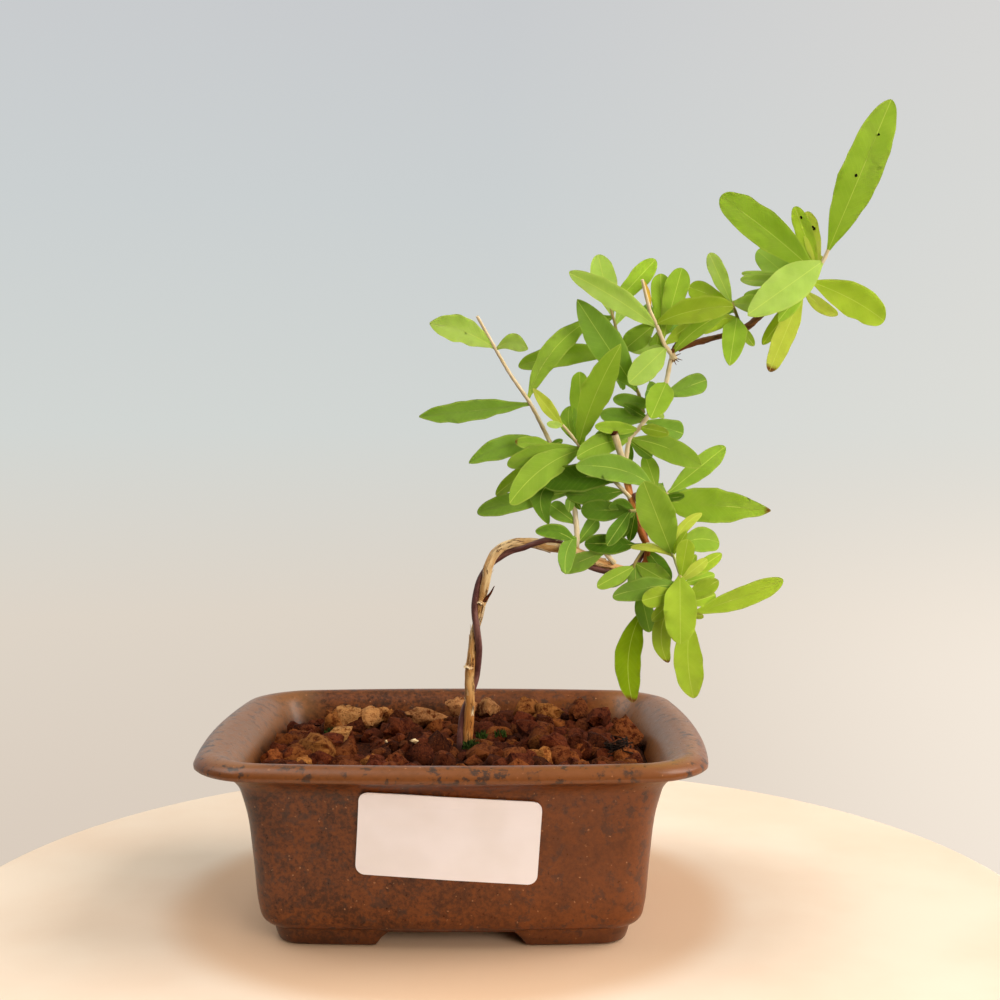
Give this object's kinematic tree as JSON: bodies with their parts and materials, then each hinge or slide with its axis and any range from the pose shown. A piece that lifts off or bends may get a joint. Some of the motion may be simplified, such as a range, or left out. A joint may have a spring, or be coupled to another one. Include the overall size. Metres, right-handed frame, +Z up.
{
  "type": "bonsai",
  "caption": "Small pomegranate bonsai: two twisted stems arch out of a brown glazed pot with a turned-out lip and lean to the right",
  "frame": {"origin": "middle of the bottom of the whole object's bounding box, on the surface the pot's feet stand on; the pot's own middle is 24.6 mm towards -X of it", "axes": "+Z up; -Y towards the viewer of the front, with the label; +X to the right, where the shoots lean over"},
  "size_m": [0.1712, 0.0992, 0.2004],
  "materials": {
    "glaze": "glossy brown glaze with dark blotches and pale pinpricks",
    "sticker": "semi-matt blank sticker",
    "drain_mesh": "matte",
    "soil": "rough baked-clay grains with tan and ochre ones among them",
    "pale_bark": "peeling pale bark",
    "dark_bark": "smooth dark bark",
    "leaf": "thin soft leaves that let light through"
  },
  "bodies": {
    "root": {"pot": "glaze", "label": "sticker", "drain_mesh_left": "drain_mesh", "drain_mesh_right": "drain_mesh", "soil": "soil", "pale_trunk": "pale_bark", "dark_trunk": "dark_bark", "dark_branch": "dark_bark", "left_shoot": "leaf", "centre_shoot": "leaf", "middle_spray": "leaf", "top_spray": "leaf", "inner_spray": "leaf", "branch_spray": "leaf", "crown_spray": "leaf", "right_spray": "leaf", "hanging_spray": "leaf", "lower_spray": "leaf", "knot_spray": "leaf", "bend_spray": "leaf"}
  },
  "joints": []
}
